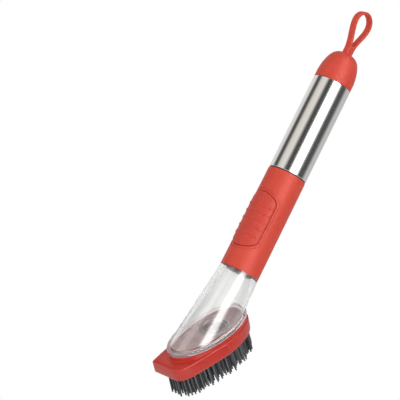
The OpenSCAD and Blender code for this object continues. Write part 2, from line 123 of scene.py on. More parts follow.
# Foot and neck; A and B are half the foot's length and width
HEAD_TILT = math.radians(53)
FOOT_A = 34.5
FOOT_B = 18.8
FOOT_SHIFT = 6
FOOT_RIM = 3
FLOOR_T = 2
FOOT_EDGE = 0.7
SHOULDER = 1.5
NECK_WALL = 2.2
AXIS_SHIFT = 2.9
SPIGOT_R = 10.2
SPIGOT_LEN = 7.6
SPIGOT_WALL = 2.6
NOZZLE_R = 2.5
INSERT_R = 11.8
COLLAR_LEN = 12
COLLAR_IR = 9.6
GROOVE = 1.3
GROOVE_W = 1.8

# Head block; its sharp corner is CORNER_W to the side of the nose's middle
PLATEAU_H = 3.1
BLOCK_H = 12.5
RIM_INSET = 0.5
LEDGE_W = 0.9
NOSE_REACH = 48
CORNER_W = 12.8
CORNER_POWER = 7
NEAR_TURN = math.radians(6.4)
FAR_TURN = math.radians(9.5)
PLATE_T = 2
PLATE_RIM = 2
SEAT_GAP = 0.2
SOCKET_R = 10.3
SOCKET_FLOOR_T = 1.5
SEAL_SEAT_R = 11.6
SEAL_SEAT_H = 1.3
OUTLET_R = 3.5

# Bristles; the field stops at a slanted line, and two cuts part it into three
BRISTLE_LEN = 14
STRAND_W = 1.7
STRAND_PITCH = 2.6
STRAND_MARGIN = 0.2
FIELD_RIM = 1.2
FAN = 1.14
FIELD_REACH = 30.8
FIELD_TURN = math.radians(44)
COLUMN_GAP = STRAND_PITCH * math.sqrt(3) / 2
NOSE_CUT = 0.69
HEEL_CUT = 0.33

# Points round a ring, and the angle in degrees past which an edge is sharp
SIDES = 160
LATHE_SIDES = 256
DOME_SIDES = 96
CREASE = 35

# Screw threads
THREAD_LEAD = 8
THREAD_STARTS = 2
THREAD_PROUD = 0.7


# Mesh tools

def new_mesh(name, points, faces, crease):
    """Mesh object from points in millimetres, smooth but at edges sharper than crease."""
    mesh = bpy.data.meshes.new(name)
    mesh.from_pydata([Vector(p) * MM for p in points], [], faces)
    obj = bpy.data.objects.new(name, mesh)
    bpy.context.scene.collection.objects.link(obj)
    tidy_mesh(obj, crease)
    return obj


def tidy_mesh(obj, crease):
    """Merges doubled points, turns the faces outwards and shades them smooth."""
    bm = bmesh.new()
    bm.from_mesh(obj.data)
    bmesh.ops.remove_doubles(bm, verts=bm.verts, dist=2e-7)
    bmesh.ops.dissolve_degenerate(bm, edges=bm.edges, dist=1e-7)
    bmesh.ops.recalc_face_normals(bm, faces=bm.faces)
    bm.to_mesh(obj.data)
    bm.free()
    obj.data.polygons.foreach_set("use_smooth", [True] * len(obj.data.polygons))
    obj.data.set_sharp_from_angle(angle=math.radians(crease))


def skin_faces(count, size, loop, start=0):
    """Faces over a stack of rings of one size; loop joins the last ring to the first."""
    faces = []
    for r in range(count if loop else count - 1):
        a = start + r * size
        b = start + (r + 1) % count * size
        for i in range(size):
            j = (i + 1) % size
            faces.append((a + i, a + j, b + j, b + i))
    if not loop:
        faces.append(tuple(start + i for i in reversed(range(size))))
        faces.append(tuple(start + (count - 1) * size + i for i in range(size)))
    return faces


def skin(name, rings, loop=False, crease=CREASE):
    """Mesh over a stack of rings of one size, capped unless it loops."""
    points = [p for ring in rings for p in ring]
    return new_mesh(name, points, skin_faces(len(rings), len(rings[0]), loop), crease)


def circle(r, z, sides=SIDES):
    """Ring about the Z axis."""
    return [(r * math.cos(2 * math.pi * i / sides),
             r * math.sin(2 * math.pi * i / sides), z) for i in range(sides)]


def rounded(corners, radius=0.0):
    """Closed outline with rounded corners; a third number is a corner's own radius."""
    steps = 4
    straight = math.radians(178)
    longest_cut = 0.48
    out = []
    for i, corner in enumerate(corners):
        p = Vector(corner[:2])
        to_last = Vector(corners[i - 1][:2]) - p
        to_next = Vector(corners[(i + 1) % len(corners)][:2]) - p
        angle = to_last.angle(to_next)
        r = corner[2] if len(corner) > 2 else radius
        if r <= 0 or angle > straight:
            out.append(tuple(p))
            continue
        cut = min(r / math.tan(angle / 2), longest_cut * to_last.length,
                  longest_cut * to_next.length)
        r = cut * math.tan(angle / 2)
        start = p + to_last.normalized() * cut
        end = p + to_next.normalized() * cut
        centre = p + (to_last.normalized() + to_next.normalized()).normalized() * (
            r / math.sin(angle / 2))
        first = math.atan2(*(start - centre).yx)
        turn = math.atan2(*(end - centre).yx) - first
        turn = (turn + math.pi) % (2 * math.pi) - math.pi
        for k in range(steps + 1):
            t = first + turn * k / steps
            out.append((centre.x + r * math.cos(t), centre.y + r * math.sin(t)))
    return out


def lathe(name, profile):
    """Closed profile of (radius, height, rounding) turned about the handle's axis."""
    return skin(name, [circle(r, z, LATHE_SIDES) for r, z in rounded(profile)], loop=True)


def combine(obj, tool, operation, crease=CREASE):
    """Boolean of two closed meshes, which uses up the tool."""
    change = obj.modifiers.new("change", "BOOLEAN")
    change.operation = operation
    change.solver = "EXACT"
    change.object = tool
    graph = bpy.context.evaluated_depsgraph_get()
    mesh = bpy.data.meshes.new_from_object(obj.evaluated_get(graph))
    obj.modifiers.clear()
    obj.data = mesh
    bpy.data.objects.remove(tool)
    tidy_mesh(obj, crease)


def place(obj, body, slot, material, *nodes):
    """Gives a piece its body and its material, and hides the CAD nodes it replaces; the
    slot is not used.
    """
    obj.data.materials.clear()
    obj.data.materials.append(material)
    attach(obj, body)
    if nodes:
        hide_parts(*nodes)


def mix(a, b, t):
    """The value a share t of the way from a to b."""
    return a + (b - a) * t


def mix_rings(low, high, t):
    """The ring a share t of the way from one ring to another."""
    return [tuple(mix(p[k], q[k], t) for k in range(3)) for p, q in zip(low, high)]


# Head frame

HEAD_X = -AXIS_SHIFT * math.cos(HEAD_TILT)
HEAD_Z = Z_FOOT + AXIS_SHIFT * math.sin(HEAD_TILT)


def head_point(u, w, h):
    """A point given in the head's axes, in the frame."""
    return (HEAD_X + u * math.cos(HEAD_TILT) + h * math.sin(HEAD_TILT), w,
            HEAD_Z - u * math.sin(HEAD_TILT) + h * math.cos(HEAD_TILT))


def foot_ring(h, inset):
    """The foot's oval at a height over its base, drawn in by an inset."""
    return [head_point(FOOT_SHIFT + (FOOT_A - inset) * math.cos(t),
                       (FOOT_B - inset) * math.sin(t), h)
            for t in (2 * math.pi * i / SIDES for i in range(SIDES))]


def spigot_ring(r, h):
    """Circle about the screw spigot's axis."""
    return [head_point(x, y, h) for x, y, _ in circle(r, 0)]


# Materials

def principled(name, **values):
    """Material with numbers and colours set on the shader's own sockets."""
    mat = bpy.data.materials.new(name)
    mat.use_nodes = True
    shader = mat.node_tree.nodes["Principled BSDF"]
    for key, value in values.items():
        shader.inputs[key.replace("_", " ")].default_value = value
    return mat, mat.node_tree, shader


def coordinates(tree, scale=(1, 1, 1)):
    """The piece's own coordinates in metres, stretched by a scale."""
    where = tree.nodes.new("ShaderNodeTexCoord")
    mapping = tree.nodes.new("ShaderNodeMapping")
    mapping.inputs["Scale"].default_value = scale
    tree.links.new(where.outputs["Object"], mapping.inputs["Vector"])
    return mapping.outputs["Vector"]


def noise(tree, vector, scale, detail, roughness=0.5):
    node = tree.nodes.new("ShaderNodeTexNoise")
    node.inputs["Scale"].default_value = scale
    node.inputs["Detail"].default_value = detail
    node.inputs["Roughness"].default_value = roughness
    tree.links.new(vector, node.inputs["Vector"])
    return node.outputs["Fac"]


def ramp(tree, value, stops):
    """Colour from a value, through stops of (position, colour)."""
    node = tree.nodes.new("ShaderNodeValToRGB")
    elements = node.color_ramp.elements
    elements[0].position, elements[0].color = stops[0][0], (*stops[0][1], 1)
    elements[1].position, elements[1].color = stops[-1][0], (*stops[-1][1], 1)
    for position, colour in stops[1:-1]:
        elements.new(position).color = (*colour, 1)
    tree.links.new(value, node.inputs["Fac"])
    return node.outputs["Color"]


def bump(tree, shader, height, strength, distance):
    """Relief of a material's skin, its depth in metres."""
    node = tree.nodes.new("ShaderNodeBump")
    node.inputs["Strength"].default_value = strength
    node.inputs["Distance"].default_value = distance
    tree.links.new(height, node.inputs["Height"])
    tree.links.new(node.outputs["Normal"], shader.inputs["Normal"])


def map_range(tree, value, span_in, span_out):
    """Clamped linear change of a value from one span to another."""
    node = tree.nodes.new("ShaderNodeMapRange")
    node.inputs["From Min"].default_value, node.inputs["From Max"].default_value = span_in
    node.inputs["To Min"].default_value, node.inputs["To Max"].default_value = span_out
    tree.links.new(value, node.inputs["Value"])
    return node.outputs["Result"]


def vary(tree, shader, value, low, high, socket="Roughness"):
    """Spreads one of the shader's numbers between low and high by a value of 0 to 1."""
    tree.links.new(map_range(tree, value, (0, 1), (low, high)), shader.inputs[socket])


def combined(tree, operation, a, b):
    """Math node of two values, of which b may be a plain number."""
    node = tree.nodes.new("ShaderNodeMath")
    node.operation = operation
    tree.links.new(a, node.inputs[0])
    if isinstance(b, float):
        node.inputs[1].default_value = b
    else:
        tree.links.new(b, node.inputs[1])
    return node.outputs["Value"]


def plastic(name, dark, light, roughness, shine, grain):
    """Moulded plastic: two close shades in broad clouds, a fine skin and a gloss."""
    mat, tree, shader = principled(name, Specular_IOR_Level=shine)
    where = coordinates(tree)
    clouds = noise(tree, where, 60, 2)
    tree.links.new(ramp(tree, clouds, [(0.3, dark), (0.7, light)]),
                   shader.inputs["Base Color"])
    fine = noise(tree, where, 900, 3)
    vary(tree, shader, fine, roughness * 0.85, roughness * 1.2)
    bump(tree, shader, fine, grain, 0.0002)
    return mat


def soft_grip(name, dark, light):
    """Soft-touch pad with a faint mottled skin."""
    mat, tree, shader = principled(name, Specular_IOR_Level=0.25, Sheen_Weight=0.05,
                                   Sheen_Roughness=0.5)
    where = coordinates(tree)
    mottle = noise(tree, where, 750, 2, 0.6)
    tree.links.new(ramp(tree, mottle, [(0.35, dark), (0.62, light)]),
                   shader.inputs["Base Color"])
    vary(tree, shader, mottle, 0.42, 0.6)
    bump(tree, shader, mottle, 0.35, 0.0003)
    return mat


def polished_steel(name):
    """Polished tube with very fine lines round it."""
    mat, tree, shader = principled(name, Metallic=1.0)
    where = coordinates(tree, (1, 1, 40))
    lines = noise(tree, where, 260, 4)
    shade = ramp(tree, lines, [(0.3, (0.80, 0.79, 0.76)), (0.7, (0.86, 0.85, 0.83))])
    tree.links.new(shade, shader.inputs["Base Color"])
    vary(tree, shader, lines, 0.10, 0.15)
    bump(tree, shader, lines, 0.006, 0.0001)
    return mat


def clear_plastic(name):
    """Clear moulded plastic, milky in the foot's thick rim, with painted pink over the
    foot: painted light of the red head seen through it.
    """
    mat, tree, shader = principled(name, IOR=1.49,
                                   Specular_IOR_Level=0.5, Coat_Weight=0.5,
                                   Coat_IOR=1.6, Coat_Roughness=0.03)
    flow = noise(tree, coordinates(tree), 45, 2)
    vary(tree, shader, flow, 0.03, 0.07)
    bump(tree, shader, flow, 0.02, 0.0004)
    low, rim = foot_masks(tree)
    vary(tree, shader, rim, 0.94, 0.80, "Transmission Weight")
    # Haze above; over the foot, painted pink that stands for the red head's light seen
    # through the plastic
    haze_and_painted_red = ramp(tree, low, [(0.0, (0.89, 0.895, 0.885)), (1.0, (0.98, 0.86, 0.86))])
    tree.links.new(haze_and_painted_red, shader.inputs["Base Color"])
    return mat


def foot_masks(tree):
    """1 over the foot and 0 above it, where the painted pink goes, and 1 over the foot's
    rim alone.
    """
    rim_share = (0.88, 0.93)
    low_height = ((FOOT_RIM + 1.2) / FOOT_A, (FOOT_RIM + 0.3) / FOOT_A)
    where = tree.nodes.new("ShaderNodeTexCoord")
    turned = tree.nodes.new("ShaderNodeMapping")
    turned.vector_type = "TEXTURE"
    turned.inputs["Location"].default_value = Vector(head_point(FOOT_SHIFT, 0, 0)) * MM
    turned.inputs["Rotation"].default_value = (0, HEAD_TILT, 0)
    turned.inputs["Scale"].default_value = (FOOT_A * MM, FOOT_B * MM, FOOT_A * MM)
    tree.links.new(where.outputs["Object"], turned.inputs["Vector"])
    flat = tree.nodes.new("ShaderNodeVectorMath")
    flat.operation = "MULTIPLY"
    flat.inputs[1].default_value = (1, 1, 0)
    tree.links.new(turned.outputs["Vector"], flat.inputs[0])
    reach = tree.nodes.new("ShaderNodeVectorMath")
    reach.operation = "LENGTH"
    tree.links.new(flat.outputs["Vector"], reach.inputs[0])
    edge = map_range(tree, reach.outputs["Value"], rim_share, (0, 1))
    split = tree.nodes.new("ShaderNodeSeparateXYZ")
    tree.links.new(turned.outputs["Vector"], split.inputs["Vector"])
    low = map_range(tree, split.outputs["Z"], low_height, (0, 1))
    return low, combined(tree, "MULTIPLY", edge, low)


def rubber(name, dark, light, roughness=0.6):
    """Matte rubber or silicone with a fine mottled skin."""
    mat, tree, shader = principled(name, Specular_IOR_Level=0.4)
    where = coordinates(tree)
    skin_noise = noise(tree, where, 600, 3)
    tree.links.new(ramp(tree, skin_noise, [(0.3, dark), (0.7, light)]),
                   shader.inputs["Base Color"])
    vary(tree, shader, skin_noise, roughness * 0.9, min(1, roughness * 1.15))
    bump(tree, shader, skin_noise, 0.1, 0.0002)
    return mat


def bristle_nylon(name):
    """Drawn nylon: each strand its own shade, with fine lines along it."""
    mat, tree, shader = principled(name, Specular_IOR_Level=0.4, Coat_Weight=0.05,
                                   Coat_Roughness=0.3)
    island = tree.nodes.new("ShaderNodeNewGeometry")
    shade = ramp(tree, island.outputs["Random Per Island"],
                 [(0.0, (0.018, 0.020, 0.021)), (0.55, (0.049, 0.053, 0.057)),
                  (1.0, (0.112, 0.118, 0.126))])
    tree.links.new(shade, shader.inputs["Base Color"])
    lines = noise(tree, coordinates(tree, (6, 6, 1)), 500, 2)
    vary(tree, shader, lines, 0.30, 0.5)
    bump(tree, shader, lines, 0.12, 0.0002)
    return mat


RED = plastic("red_gloss_plastic", (0.59, 0.058, 0.033), (0.63, 0.067, 0.039),
              roughness=0.46, shine=0.20, grain=0.01)
RED_SATIN = plastic("red_satin_plastic", (0.49, 0.032, 0.022), (0.54, 0.041, 0.028),
                    roughness=0.22, shine=0.38, grain=0.02)
PAD_RED = soft_grip("red_soft_pad", (0.53, 0.042, 0.024), (0.59, 0.056, 0.034))
STEEL = polished_steel("polished_steel")
CLEAR = clear_plastic("clear_plastic")
PALE = plastic("pale_plastic", (0.74, 0.74, 0.72), (0.80, 0.80, 0.78),
               roughness=0.4, shine=0.5, grain=0.05)
SILICONE = rubber("silicone", (0.66, 0.66, 0.63), (0.74, 0.74, 0.71), 0.5)
SEAL = rubber("seal_rubber", (0.012, 0.012, 0.013), (0.028, 0.028, 0.03))
PALE_SEAL = rubber("pale_seal_rubber", (0.66, 0.58, 0.57), (0.74, 0.66, 0.65))
NYLON = bristle_nylon("bristle_nylon")

NODE_MATERIALS = {
    "cap_core": PALE, "cap_washer": SEAL, "reservoir": PALE, "sleeve_ring": SEAL,
    "reservoir_seal": SEAL, "button_plunger": PALE, "dome_retainer": PALE,
    "pump_body": PALE, "inlet_valve": SILICONE, "outlet_valve": SILICONE,
    "neck_seal": SEAL, "nozzle_valve": SILICONE, "head_seal": PALE_SEAL,
}


def dress_nodes():
    """Gives the CAD nodes that stay their materials."""
    for name, material in NODE_MATERIALS.items():
        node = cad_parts[name]
        node.data.materials.clear()
        node.data.materials.append(material)


# Cap and loop

def dome_r(h):
    """Radius of the dome at a height over the cap's foot."""
    return TUBE_R * max(0, 1 - (h / DOME_H) ** DOME_CURVE) ** (1 / DOME_CURVE)


def soft_max(a, b):
    """The larger of two lengths, with a flare where they meet."""
    return (a ** CAP_FLARE + b ** CAP_FLARE) ** (1 / CAP_FLARE)


def cap_ring(h, inset=0):
    """Ring of the cap: round below, and squarer towards the strap."""
    dome = dome_r(min(h, DOME_H))
    half_x = min(TUBE_R, soft_max(dome, STEM_HALF - STEM_TUCK)) - inset
    half_y = min(TUBE_R, soft_max(dome, STRAP_W / 2 - STEM_TUCK)) - inset
    square = 2 + 2 * (max(0, h - DOME_H / 2) / (DOME_H / 2 + STEM_END)) ** 3
    ring = []
    for x, y, _ in circle(1, 0):
        ring.append((half_x * math.copysign(abs(x) ** (2 / square), x),
                     half_y * math.copysign(abs(y) ** (2 / square), y), Z_CAP + h))
    return ring


# Heights of the loop are over the dome's top; its foot lies inside the dome
LOOP_MID = Z_LOOP_TOP - Z_DOME_TOP - LOOP_W / 2
LOOP_FOOT = -1
SIDE_STEPS = 40
ARC_STEPS = 48


def loop_swell(h):
    """Share of the loop's full width at a height, from 0 at the stem to 1."""
    t = min(1, max(0, (h - STEM_END) / (LOOP_MID - STEM_END)))
    return t * t * (3 - 2 * t)


def loop_half(h, inset):
    """Half width of the loop at a height, drawn in square to its edge by an inset."""
    wide = LOOP_W / 2 - STEM_HALF
    step = 0.1
    slope = wide * (loop_swell(h + step) - loop_swell(h - step)) / (2 * step)
    return STEM_HALF + wide * loop_swell(h) - inset * math.hypot(1, slope)


def strap_outline(foot, side, inset):
    """Outline from the middle of its low end, up one side, over the top and down."""
    r = LOOP_W / 2 - inset
    arc = [(r * math.cos(t), LOOP_MID + r * math.sin(t))
           for t in (math.pi * i / ARC_STEPS for i in range(1, ARC_STEPS))]
    return [(0, foot)] + side + arc + [(-x, h) for x, h in reversed(side)]


def outer_outline(inset):
    """The loop's outer edge, drawn in by an inset."""
    heights = [mix(LOOP_FOOT, LOOP_MID, i / (SIDE_STEPS - 1)) for i in range(SIDE_STEPS)]
    return strap_outline(LOOP_FOOT, [(loop_half(h, inset), h) for h in heights], inset)


def gap_outline(inset):
    """The edge of the gap in the loop: as the outer edge, with a rounded foot."""
    low = GAP_FOOT + inset - STRAP_T
    side = []
    for i in range(1, SIDE_STEPS + 1):
        h = mix(low, LOOP_MID, (i / SIDE_STEPS) ** 1.6)
        t = max(0, 1 - (h - low) / GAP_FOOT_H)
        side.append((loop_half(h, inset) * math.sqrt(1 - t * t), h))
    return strap_outline(low, side, inset)


def loop_strap():
    """The strap of the hanging loop: one ring of sections with rounded edges."""
    half, edge, steps = STRAP_W / 2, 0.6, 4
    turns = [math.pi / 2 * k / steps for k in range(steps + 1)]
    rounding = [(half - edge * (1 - math.cos(t)), edge * (1 - math.sin(t))) for t in turns]
    back = list(reversed(rounding))
    layers = [(outer_outline(inset), -depth) for depth, inset in rounding]
    layers += [(outer_outline(inset), depth) for depth, inset in back]
    layers += [(gap_outline(STRAP_T - inset), depth) for depth, inset in rounding]
    layers += [(gap_outline(STRAP_T - inset), -depth) for depth, inset in back]
    sections = [[(outline[k][0], depth, Z_DOME_TOP + outline[k][1])
                 for outline, depth in layers] for k in range(len(layers[0][0]))]
    return skin("loop_strap", sections, loop=True, crease=50)


def make_cap():
    """The cap with its hollow below, its rounded foot, the dome and the loop."""
    tiny_r, edge, steps = 0.01, 0.35, 56
    rings = [circle(tiny_r, Z_CAP + CORE_DEPTH), circle(CORE_R, Z_CAP + CORE_DEPTH),
             circle(CORE_R, Z_CAP)]
    rings += [cap_ring(0, edge), cap_ring(0.1, 0.1), cap_ring(edge)]
    for k in range(1, steps + 1):
        rings.append(cap_ring(DOME_H * math.sin(math.pi / 2 * k / steps)))
    rings += [cap_ring(DOME_H + 0.5), cap_ring(DOME_H + 1.5)]
    cap = skin("cap_with_loop", rings)
    combine(cap, loop_strap(), "UNION", crease=38)
    place(cap, "cap", "red_plastic", RED, "cap_loop")


# Steel tube and grip

def make_tube():
    """The steel sleeve, turned in at its top to hold the reservoir's neck."""
    inner = TUBE_R - TUBE_WALL
    tube = lathe("steel_tube", [
        (inner, Z_TUBE, 0.1), (TUBE_R, Z_TUBE, 0.25), (TUBE_R, Z_TUBE_TOP, 0.4),
        (LIP_R, Z_TUBE_TOP, 0.1), (LIP_R, Z_TUBE_TOP - TUBE_WALL, 0.1),
        (inner, Z_TUBE_TOP - TUBE_WALL, 0.2)])
    place(tube, "handle", "steel", STEEL, "steel_sleeve")


def pad_outline(half_w, half_len):
    """Outline of the pad as (height over the pad's middle, y)."""
    steps = 40
    straight = half_len - PAD_END
    points = []
    for side in (1, -1):
        for k in range(steps + 1):
            t = math.pi * k / steps - math.pi / 2
            points.append((side * (straight + PAD_END * math.cos(t)),
                           side * half_w * math.sin(t)))
    return points


FRAME_HALF_W = PAD_HALF_W + PAD_GAP + BEZEL_W
FRAME_HALF_LEN = PAD_HALF_LEN + PAD_GAP + BEZEL_W + BEZEL_END
PAD_R = (GRIP_TOP_R + GRIP_FOOT_R) / 2 + PAD_PROUD


def outline_ring(half_w, half_len, x=None, r=None):
    """The pad's outline at a place x, or laid on a cylinder of radius r."""
    ring = []
    for z, y in pad_outline(half_w, half_len):
        ring.append((x if r is None else math.sqrt(r * r - y * y), y, Z_PAD + z))
    return ring


def make_grip():
    """The grip with its rounded ends and the window for the button."""
    edge = 0.5
    grip = lathe("grip", [
        (BORE_R, Z_NECK, 0.2), (GRIP_FOOT_R, Z_NECK, edge), (GRIP_TOP_R, Z_RING, edge),
        (BORE_R, Z_RING, 0.1)])
    gap = 0.1
    tool = skin("grip_window", [
        outline_ring(FRAME_HALF_W + gap, FRAME_HALF_LEN + gap, x=FLAT_X - gap),
        outline_ring(FRAME_HALF_W + gap, FRAME_HALF_LEN + gap, x=2 * TUBE_R)])
    combine(grip, tool, "DIFFERENCE")
    round_normals(grip)
    place(grip, "handle", "red_plastic", RED, "grip_housing")


def round_normals(obj):
    """Gives the grip's outer wall the normals of its cone, free of the cut's facets."""
    wall_depth, squareness = 0.6, 0.98
    mesh = obj.data
    lean = (GRIP_FOOT_R - GRIP_TOP_R) / (Z_RING - Z_NECK)
    corners = [Vector(c.vector) for c in mesh.corner_normals]
    for face in mesh.polygons:
        c = face.center
        radius = math.hypot(c.x, c.y) / MM
        outward = face.normal.x * c.x + face.normal.y * c.y
        if radius < GRIP_TOP_R - wall_depth or outward < squareness * math.hypot(c.x, c.y):
            continue
        for loop in face.loop_indices:
            v = mesh.vertices[mesh.loops[loop].vertex_index].co
            corners[loop] = Vector((v.x, v.y, lean * math.hypot(v.x, v.y))).normalized()
    mesh.normals_split_custom_set(corners)


def make_bezel():
    """The thin frame round the pad, with both its edges rounded."""
    base_x, edge = 2.5, 0.25
    part = edge * 0.3
    high = GRIP_TOP_R
    inner_w, inner_len = PAD_HALF_W + PAD_GAP, PAD_HALF_LEN + PAD_GAP
    bezel = skin("button_bezel", [
        outline_ring(inner_w, inner_len, x=base_x),
        outline_ring(inner_w, inner_len, r=high - edge),
        outline_ring(inner_w + part, inner_len + part, r=high - part),
        outline_ring(inner_w + edge, inner_len + edge, r=high),
        outline_ring(FRAME_HALF_W - edge, FRAME_HALF_LEN - edge, r=high),
        outline_ring(FRAME_HALF_W - part, FRAME_HALF_LEN - part, r=high - part),
        outline_ring(FRAME_HALF_W, FRAME_HALF_LEN, r=high - edge),
        outline_ring(FRAME_HALF_W, FRAME_HALF_LEN, x=base_x)], loop=True)
    place(bezel, "handle", "red_plastic", RED, "button_frame")


def pad_half_width(z):
    """Half width of the pad at a height over its middle."""
    beyond = (abs(z) - (PAD_HALF_LEN - PAD_END)) / PAD_END
    return PAD_HALF_W * math.sqrt(max(0, 1 - max(0, beyond) ** 2))


def pad_edge_distance(z, y):
    """About how far a point of the pad lies inside its outline."""
    beyond = max(0, (abs(z) - (PAD_HALF_LEN - PAD_END)) / PAD_END)
    rho = math.hypot(beyond, y / PAD_HALF_W)
    if rho < 1e-6:
        return PAD_HALF_W
    slope = math.hypot(beyond / PAD_END, y / PAD_HALF_W ** 2) / rho
    return (1 - rho) / slope


def pad_surface(z, y):
    """Radius of the pad's outer face: ribs across it and a rounded edge."""
    rib_r = RIB_PITCH * RIB_SHARE
    edge_distance = max(0, pad_edge_distance(z, y))
    rib = 0
    for i in range(-RIBS, RIBS + 1):
        off = z - i * RIB_PITCH
        if abs(off) < rib_r:
            rib = max(rib, RIB_H - rib_r + math.sqrt(rib_r ** 2 - off ** 2))
    d = min(PAD_EDGE, edge_distance)
    drop = PAD_EDGE - math.sqrt(PAD_EDGE ** 2 - (PAD_EDGE - d) ** 2)
    return PAD_R + rib * min(1, edge_distance / RIB_FADE) - drop


def make_pad():
    """The thumb pad, as a grid of points that crowds towards its ends and sides."""
    rows, columns = 190, 72
    reach, crowding = 0.9995, 0.35
    tops, lows = [], []
    for i in range(rows + 1):
        share = math.sin(math.pi * (i / rows - 0.5))
        z = PAD_HALF_LEN * reach * mix(2 * i / rows - 1, share, crowding)
        half = pad_half_width(z)
        for j in range(columns + 1):
            y = half * math.sin(math.pi / 2 * (2 * j / columns - 1))
            r = pad_surface(z, y)
            tops.append((math.sqrt(r * r - y * y), y, Z_PAD + z))
            inner = PAD_R - PAD_T
            lows.append((math.sqrt(inner * inner - y * y), y, Z_PAD + z))
    wide = columns + 1
    offset = len(tops)
    faces = []
    for i in range(rows):
        for j in range(columns):
            a = i * wide + j
            quad = (a, a + 1, a + wide + 1, a + wide)
            faces.append(quad)
            faces.append(tuple(offset + k for k in reversed(quad)))
    rim = list(range(wide))
    rim += [i * wide + columns for i in range(1, rows + 1)]
    rim += [rows * wide + j for j in reversed(range(columns))]
    rim += [i * wide for i in reversed(range(1, rows))]
    for k, a in enumerate(rim):
        b = rim[(k + 1) % len(rim)]
        faces.append((a, offset + a, offset + b, b))
    pad = new_mesh("thumb_pad", tops + lows, faces, 50)
    place(pad, "button", "soft_red", PAD_RED, "button_pad")


def make_pump_dome():
    """The soft dome behind the plunger, which the button presses flatter."""
    low, top = span("pump_dome", 0)
    middle = sum(span("pump_dome")) / 2
    r = span("pump_dome", 1)[1] - PUMP_FLANGE_W
    wall, flange, middle_r = PUMP_WALL, low + PUMP_FLANGE, 0.3
    profile = rounded([
        (middle_r, top - wall, 0), (r - 3.2, top - wall), (r - 1.8, top - wall - 0.8),
        (r - 0.6, flange), (r, low, 0.1), (r + PUMP_FLANGE_W, low, 0.2),
        (r + PUMP_FLANGE_W, flange, 0.2), (r + 0.6, flange), (r - 0.6, top - 1.4),
        (r - 2, top - 0.3), (r - 3, top), (middle_r, top, 0)], radius=1.0)
    dome = skin("soft_pump_dome", [
        [(x, y, middle + z) for y, z, _ in circle(reach, 0, DOME_SIDES)]
        for reach, x in profile])
    place(dome, "handle", "silicone", SILICONE, "pump_dome")
    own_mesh(dome)


# Clear neck and foot

def make_neck():
    """Spigot, foot, neck and collar as one wall: up its outside, down its inside."""
    quarter = [math.pi / 2 * k / 4 for k in range(5)]
    steps = 24
    spigot_end = -SPIGOT_LEN
    rings = [spigot_ring(r, h) for r, h in (
        (NOZZLE_R, spigot_end), (SPIGOT_R - 0.6, spigot_end),
        (SPIGOT_R - 0.2, spigot_end + 0.15), (SPIGOT_R, spigot_end + 0.6),
        (SPIGOT_R, -0.3), (SPIGOT_R + 0.3, 0))]

    rings += [foot_ring(FOOT_EDGE * (1 - math.cos(t)), FOOT_EDGE * (1 - math.sin(t)))
              for t in quarter]
    rings += [foot_ring(FOOT_RIM - FOOT_EDGE * (1 - math.sin(t)),
                        FOOT_EDGE * (1 - math.cos(t))) for t in quarter]

    out_base = foot_ring(FOOT_RIM + 0.3, SHOULDER)
    out_top = circle(GRIP_FOOT_R - 0.1, Z_NECK)
    rings += [mix_rings(out_base, out_top, k / steps) for k in range(steps + 1)]

    z_collar = Z_NECK + COLLAR_LEN
    z_groove = Z_NECK + COLLAR_LEN / 2
    groove_low, groove_high = z_groove - GROOVE_W / 2, z_groove + GROOVE_W / 2
    rings += [circle(r, z) for r, z in (
        (INSERT_R, Z_NECK), (INSERT_R, groove_low), (INSERT_R - GROOVE, groove_low),
        (INSERT_R - GROOVE, groove_high), (INSERT_R, groove_high),
        (INSERT_R, z_collar - 0.5), (INSERT_R - 0.5, z_collar), (COLLAR_IR, z_collar))]

    in_inset = SHOULDER + NECK_WALL
    in_top = circle(COLLAR_IR, Z_NECK)
    in_base = foot_ring(FLOOR_T + 1.2, in_inset)
    rings += [mix_rings(in_top, in_base, k / steps) for k in range(steps + 1)]
    rings += [foot_ring(FLOOR_T + 0.35, in_inset + 0.35),
              foot_ring(FLOOR_T, in_inset + 1.2)]

    inner_r = SPIGOT_R - SPIGOT_WALL
    rings += [spigot_ring(r, h) for r, h in (
        (inner_r + 0.3, FLOOR_T), (inner_r, FLOOR_T - 0.3),
        (inner_r, spigot_end + FLOOR_T), (NOZZLE_R, spigot_end + FLOOR_T))]
    neck = skin("clear_neck_and_foot", rings, loop=True, crease=32)
    place(neck, "handle", "clear_plastic", CLEAR, "clear_neck")


def thread(name, point, r, low, high):
    """Ridges that wind round a neck; point turns (angle, radius, height) into a place."""
    points, faces = [], []
    turns = (high - low) / THREAD_LEAD
    per_turn = 48
    count = int(per_turn * turns)
    root_r, root_half, crest_half = r - 0.2, 0.65, 0.25
    run_in = 6
    for s in range(THREAD_STARTS):
        start = len(points)
        for k in range(count + 1):
            t = k / count
            angle = 2 * math.pi * (turns * t + s / THREAD_STARTS)
            mid = mix(low, high, t)
            grow = min(1, run_in * t, run_in * (1 - t))
            crest_r = r + THREAD_PROUD * grow
            for ridge_r, dz in ((root_r, -root_half), (crest_r, -crest_half * grow),
                                (crest_r, crest_half * grow), (root_r, root_half)):
                points.append(point(angle, ridge_r, mid + dz))
        faces += skin_faces(count + 1, 4, False, start)
    return new_mesh(name, points, faces, 40)


def make_threads():
    """The screw threads on the filling neck and on the spigot."""
    def on_mouth(angle, r, z):
        return (r * math.cos(angle), r * math.sin(angle), z)

    def on_spigot(angle, r, h):
        return head_point(r * math.cos(angle), -r * math.sin(angle), h)

    mouth = thread("filling_thread", on_mouth, MOUTH_R,
                   low=Z_TUBE_TOP + 1.6, high=Z_TUBE_TOP + MOUTH_H - 1.2)
    place(mouth, "handle", "pale_plastic", PALE)
    spigot = thread("spigot_thread", on_spigot, SPIGOT_R, low=-SPIGOT_LEN + 1, high=-1.9)
    place(spigot, "handle", "clear_plastic", CLEAR)


# Head block

PLATEAU_A = FOOT_A - RIM_INSET
PLATEAU_B = FOOT_B - RIM_INSET


def plateau_r(t):
    """Distance from the foot's middle to the plateau's edge in one direction."""
    return 1 / math.sqrt((math.cos(t) / PLATEAU_A) ** 2 + (math.sin(t) / PLATEAU_B) ** 2)


